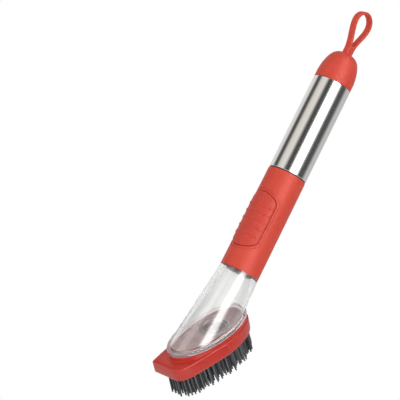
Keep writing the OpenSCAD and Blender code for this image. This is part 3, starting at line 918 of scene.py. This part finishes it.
def side_distance(turn):
    """Distance of a side that touches the oval of the ledge, turned by an angle."""
    return LEDGE_W + math.hypot(PLATEAU_A * math.sin(turn), PLATEAU_B * math.cos(turn))


def block_r(t):
    """Distance from the foot's middle to the block's edge in one direction."""
    oval = plateau_r(t) + LEDGE_W
    if math.cos(t) <= 0:
        return oval
    nose = max(0, math.cos(t)) / (NOSE_REACH - FOOT_SHIFT)
    near = max(0, math.cos(t - math.pi / 2 + NEAR_TURN)) / side_distance(NEAR_TURN)
    far = max(0, math.cos(t + math.pi / 2 - FAR_TURN)) / side_distance(FAR_TURN)
    power = CORNER_POWER
    round_corner = (nose ** power + near ** power) ** (1 / power)
    return max(oval, 1 / max(round_corner, nose, far))


# The head's rings start at its sharp corner, so that one of their points lies on it
CORNER_ANGLE = math.atan2(-CORNER_W, NOSE_REACH - FOOT_SHIFT)
HEAD_ANGLES = [CORNER_ANGLE + 2 * math.pi * i / SIDES for i in range(SIDES)]


def head_ring(h, share, inset):
    """Ring of the head: share 0 follows the plateau, share 1 the block's outline."""
    ring = []
    for t in HEAD_ANGLES:
        r = mix(plateau_r(t), block_r(t), share) - inset
        ring.append(head_point(FOOT_SHIFT + r * math.cos(t), r * math.sin(t), h))
    return ring


def head_circle(r, h):
    """Circle about the spigot's axis, with its points set as a head ring's are."""
    return [head_point(r * math.cos(t), r * math.sin(t), h) for t in HEAD_ANGLES]


def make_head():
    """The head's block, from the plate's recess up its outside and down its socket."""
    top = -SEAT_GAP
    ledge = -PLATEAU_H
    under = -BLOCK_H
    plate_top = under + PLATE_T
    socket_floor = plate_top + SOCKET_FLOOR_T
    seat_floor = top - SEAL_SEAT_H
    outside = [
        # Height, share and inset: the plate's recess and the block's lower edge
        (plate_top, 1, PLATE_RIM), (under, 1, PLATE_RIM), (under, 1, 0.9),
        (under + 0.12, 1, 0.5), (under + 0.5, 1, 0.2), (under + 1.4, 1, 0.08),
        # The ledge's outer edge
        (ledge - 0.9, 1, 0), (ledge - 0.42, 1, 0.1), (ledge - 0.12, 1, 0.32),
        (ledge, 1, 0.62),
        # The ledge, and the plateau up to its edge
        (ledge, 0.5, 0), (ledge, 0.12, 0), (ledge + 0.1, 0.04, 0), (ledge + 0.4, 0, 0),
        (top - 0.5, 0, 0), (top - 0.15, 0, 0.12), (top, 0, 0.5)]
    socket = [
        (SEAL_SEAT_R, top), (SEAL_SEAT_R, seat_floor), (SOCKET_R, seat_floor),
        (SOCKET_R, socket_floor), (OUTLET_R, socket_floor), (OUTLET_R, plate_top)]
    rings = [head_ring(h, share, inset) for h, share, inset in outside]
    rings += [head_circle(r, h) for r, h in socket]
    block = skin("head_block_body", rings, loop=True, crease=34)
    place(block, "head", "red_plastic", RED_SATIN, "head_block")


# Bristles

def clip(outline, u_low, u_high):
    """The part of a head outline between two lines across the head."""
    for sign, limit in ((1, u_low), (-1, -u_high)):
        kept = []
        for i, p in enumerate(outline):
            q = outline[i - 1]
            p_in, q_in = sign * p[0] >= limit, sign * q[0] >= limit
            if p_in != q_in:
                t = (limit - sign * q[0]) / (sign * (p[0] - q[0]))
                kept.append((limit * sign, mix(q[1], p[1], t)))
            if p_in:
                kept.append(p)
        outline = kept
    return outline


def column_line(share):
    """Line between two columns of strands, near a share of the way to the nose."""
    reach = mix(-FOOT_A, NOSE_REACH - FOOT_SHIFT, share)
    return FOOT_SHIFT + COLUMN_GAP * round(reach / COLUMN_GAP)


def strand_roots(u_low, u_high):
    """Roots in columns across the head; the field leaves the sharp corner bare."""
    keep = STRAND_MARGIN + STRAND_W / 2
    outlet = OUTLET_R + STRAND_W + STRAND_MARGIN
    columns = math.ceil(2 * FOOT_A / COLUMN_GAP)
    rows = math.ceil(FOOT_B / STRAND_PITCH)
    roots = []
    for i in range(-columns, columns + 1):
        u = (i + 0.5) * COLUMN_GAP
        for j in range(-rows, rows + 1):
            w = (j + i % 2 / 2) * STRAND_PITCH
            inside = math.hypot(u, w) < block_r(math.atan2(w, u)) - FIELD_RIM - keep
            past = u * math.cos(FIELD_TURN) - w * math.sin(FIELD_TURN) >= FIELD_REACH - keep
            clear = math.hypot(u + FOOT_SHIFT, w) > outlet
            if inside and clear and not past and u_low < u + FOOT_SHIFT < u_high:
                roots.append((u + FOOT_SHIFT, w))
    return roots


def strand_mesh(root, dice, points, faces):
    """One strand: six sides, drawn in to its tip, bending out to its side of the head."""
    sides, steps = 6, 5
    scatter, bow, taper, tip = 0.3, 0.3, 0.10, 0.82
    root_depth, tip_edge = 0.6, 0.25
    lean = Vector((dice.gauss(0, scatter), root[1] * (FAN - 1) + dice.gauss(0, scatter)))
    length = BRISTLE_LEN * dice.uniform(0.965, 1.0)
    turn = dice.uniform(0, math.pi)
    width = STRAND_W / 2 * dice.uniform(0.92, 1.04)
    start = len(points)
    for k in range(steps + 1):
        t = k / steps
        bend = mix(t, t * t, bow)
        r = width * (1 - taper * t)
        reach = length * t - tip_edge
        if k == 0:
            reach = -root_depth - tip_edge
        elif k == steps:
            r *= tip
            reach = length
        for i in range(sides):
            angle = turn + 2 * math.pi * i / sides
            points.append(head_point(root[0] + lean.x * bend + r * math.cos(angle),
                                     root[1] + lean.y * bend + r * math.sin(angle),
                                     -BLOCK_H - reach))
    faces += skin_faces(steps + 1, sides, False, start)


def make_bristles():
    """Three pieces, each a slice of the plate in the head's recess and its strands."""
    dice = random.Random(12)
    play, plate_depth = 0.02, 0.15
    outline = []
    for t in HEAD_ANGLES:
        r = block_r(t) - PLATE_RIM - play
        outline.append((FOOT_SHIFT + r * math.cos(t), r * math.sin(t)))
    nose_line, heel_line = column_line(NOSE_CUT), column_line(HEEL_CUT)
    slices = {"nose": (nose_line, NOSE_REACH + 2), "middle": (heel_line, nose_line),
              "heel": (-2 * FOOT_A, heel_line)}
    for name, (u_low, u_high) in slices.items():
        part = clip(outline, u_low, u_high)
        points = [head_point(u, w, h) for h in (-BLOCK_H + PLATE_T, -BLOCK_H + plate_depth)
                  for u, w in part]
        faces = skin_faces(2, len(part), False)
        for root in strand_roots(u_low, u_high):
            strand_mesh(root, dice, points, faces)
        field = new_mesh("bristle_field_" + name, points, faces, 50)
        place(field, "head", "bristle", NYLON, "bristles_" + name)


# Stage, lights and camera

# Here lengths are in metres and angles in degrees
HANDLE_MIDDLE = Vector((0, 0, -0.14))
CAMERA_AZIMUTH = 42.6
FLOOR_Z = -0.47
FLOOR_HALF = 12.0
FLOOR_GLOW = 0.36
ROOM_LIGHT = 0.5


def background_rays(tree):
    """1 for the rays that show the background: camera, glossy and transmission rays."""
    rays = tree.nodes.new("ShaderNodeLightPath")
    value = rays.outputs["Is Camera Ray"]
    for kind in ("Is Glossy Ray", "Is Transmission Ray"):
        value = combined(tree, "MAXIMUM", value, rays.outputs[kind])
    return value


def pale_floor():
    """Near white where it is seen, without lighting the object more."""
    mat, tree, shader = principled("pale_floor", Base_Color=(0.90, 0.90, 0.90, 1),
                                   Roughness=0.9, Emission_Color=(1, 1, 1, 1))
    glow = combined(tree, "MULTIPLY", background_rays(tree), FLOOR_GLOW)
    tree.links.new(glow, shader.inputs["Emission Strength"])
    return mat


def around(offset, distance, height=0.0):
    """A place round the handle, its azimuth given from the camera's in degrees."""
    t = math.radians(CAMERA_AZIMUTH + offset)
    return HANDLE_MIDDLE + Vector((distance * math.cos(t), distance * math.sin(t), height))


# What polished metal sees round it: share of the tube's width as the camera sees
# it, brightness and warmth
REFLECTIONS = [
    (0.00, 0.80, 0.0), (0.07, 0.80, 0.0), (0.11, 0.08, 0.0), (0.16, 0.10, 0.0),
    (0.21, 0.72, 0.04), (0.32, 0.84, 0.04), (0.39, 0.08, 0.0), (0.47, 0.06, 0.0),
    (0.51, 0.60, 0.0), (0.53, 3.0, 0.0), (0.56, 9.0, 0.0), (0.65, 9.0, 0.0),
    (0.69, 2.5, -0.02), (0.72, 0.50, -0.04), (0.76, 0.08, -0.04), (0.85, 0.10, -0.04),
    (0.91, 0.60, 0.0), (1.00, 0.55, 0.0),
]


def reflector():
    """A ring of soft studio panels, seen only in glossy reflections."""
    distance, low, high, count = 2.4, -1.0, 6.0, 180
    points, faces = [], []
    for k, (x, y, _) in enumerate(circle(distance, 0, count)):
        points += [(x, y, low), (x, y, high)]
        a, b = 2 * k, 2 * ((k + 1) % count)
        faces.append((a, b, b + 1, a + 1))
    mesh = bpy.data.meshes.new("reflector")
    mesh.from_pydata(points, [], faces)
    ring = bpy.data.objects.new("reflector", mesh)
    bpy.context.scene.collection.objects.link(ring)
    mat = bpy.data.materials.new("reflector_panels")
    mat.use_nodes = True
    tree = mat.node_tree
    tree.nodes.clear()
    turned = tree.nodes.new("ShaderNodeMapping")
    turned.vector_type = "POINT"
    turned.inputs["Rotation"].default_value = (0, 0, -math.radians(CAMERA_AZIMUTH))
    where = tree.nodes.new("ShaderNodeTexCoord")
    around_axis = tree.nodes.new("ShaderNodeTexGradient")
    around_axis.gradient_type = "RADIAL"
    tree.links.new(where.outputs["Object"], turned.inputs["Vector"])
    tree.links.new(turned.outputs["Vector"], around_axis.inputs["Vector"])
    peak = max(level for _, level, _ in REFLECTIONS)
    stops = []
    for share, level, warmth in REFLECTIONS:
        offset = 2 * math.asin(2 * share - 1)
        shade = level / peak
        stops.append((0.5 + offset / (2 * math.pi),
                      (shade * (1 + warmth), shade, shade * (1 - warmth))))
    panels = ramp(tree, around_axis.outputs["Fac"], stops)
    glow = tree.nodes.new("ShaderNodeEmission")
    glow.inputs["Strength"].default_value = peak
    out = tree.nodes.new("ShaderNodeOutputMaterial")
    tree.links.new(panels, glow.inputs["Color"])
    tree.links.new(glow.outputs[0], out.inputs["Surface"])
    ring.data.materials.append(mat)
    ring.visible_camera = False
    ring.visible_diffuse = False
    ring.visible_transmission = False
    ring.visible_shadow = False


def area_light(name, at, width, height, power):
    """Soft light turned to the handle; metal sees the reflector instead of it."""
    light = bpy.data.lights.new(name, "AREA")
    light.shape = "RECTANGLE"
    light.size = width
    light.size_y = height
    light.energy = power
    obj = bpy.data.objects.new(name, light)
    bpy.context.scene.collection.objects.link(obj)
    obj.location = at
    obj.rotation_euler = (HANDLE_MIDDLE - at).to_track_quat("-Z", "Y").to_euler()
    obj.visible_camera = False
    obj.visible_glossy = False


def make_stage():
    """The floor, the lights and the white room round them."""
    mesh = bpy.data.meshes.new("floor")
    corners = ((-1, -1), (1, -1), (1, 1), (-1, 1))
    mesh.from_pydata([(x * FLOOR_HALF, y * FLOOR_HALF, FLOOR_Z) for x, y in corners],
                     [], [(0, 1, 2, 3)])
    floor = bpy.data.objects.new("floor", mesh)
    bpy.context.scene.collection.objects.link(floor)
    floor.data.materials.append(pale_floor())

    reflector()
    area_light("key_softbox", around(26, 1.4), width=1.1, height=1.5, power=14)
    area_light("fill_softbox", around(-58, 1.6, 0.3), width=0.9, height=1.2, power=6)

    world = bpy.data.worlds.new("studio")
    bpy.context.scene.world = world
    world.use_nodes = True
    tree = world.node_tree
    back = tree.nodes["Background"]
    back.inputs["Color"].default_value = (1, 1, 1, 1)
    back.inputs["Strength"].default_value = 1.0
    room = tree.nodes.new("ShaderNodeBackground")
    room.inputs["Color"].default_value = (1, 1, 1, 1)
    room.inputs["Strength"].default_value = ROOM_LIGHT
    blend = tree.nodes.new("ShaderNodeMixShader")
    tree.links.new(background_rays(tree), blend.inputs["Fac"])
    tree.links.new(room.outputs[0], blend.inputs[1])
    tree.links.new(back.outputs[0], blend.inputs[2])
    tree.links.new(blend.outputs[0], tree.nodes["World Output"].inputs["Surface"])


def make_camera():
    """The photograph's view, found by fitting a pinhole camera to points of it."""
    right = Vector((-0.583, 0.681, 0.444)).normalized()
    forward = Vector((-0.703, -0.696, 0.144))
    forward = (forward - right * forward.dot(right)).normalized()
    down = forward.cross(right)
    # A point of the handle's axis, in mm to the right, down and forward of the camera
    seen = Vector((7.35, 89.41, 1208.14))
    at = Vector((0, 0, Z_FOOT)) - (right * seen.x + down * seen.y + forward * seen.z)
    focal_pixels, picture_pixels = 1750, 400
    data = bpy.data.cameras.new("camera")
    data.sensor_width = 36
    data.lens = data.sensor_width * focal_pixels / picture_pixels
    data.clip_start = 0.05
    camera = bpy.data.objects.new("camera", data)
    bpy.context.scene.collection.objects.link(camera)
    turn = Matrix((right, -down, -forward)).transposed()
    camera.matrix_world = Matrix.Translation(at * MM) @ turn.to_4x4()
    bpy.context.scene.camera = camera


make_camera()
dress_nodes()
make_cap()
make_tube()
make_grip()
make_bezel()
make_pad()
make_pump_dome()
make_neck()
make_threads()
make_head()
make_bristles()
make_stage()

bpy.context.scene.view_settings.view_transform = "Standard"
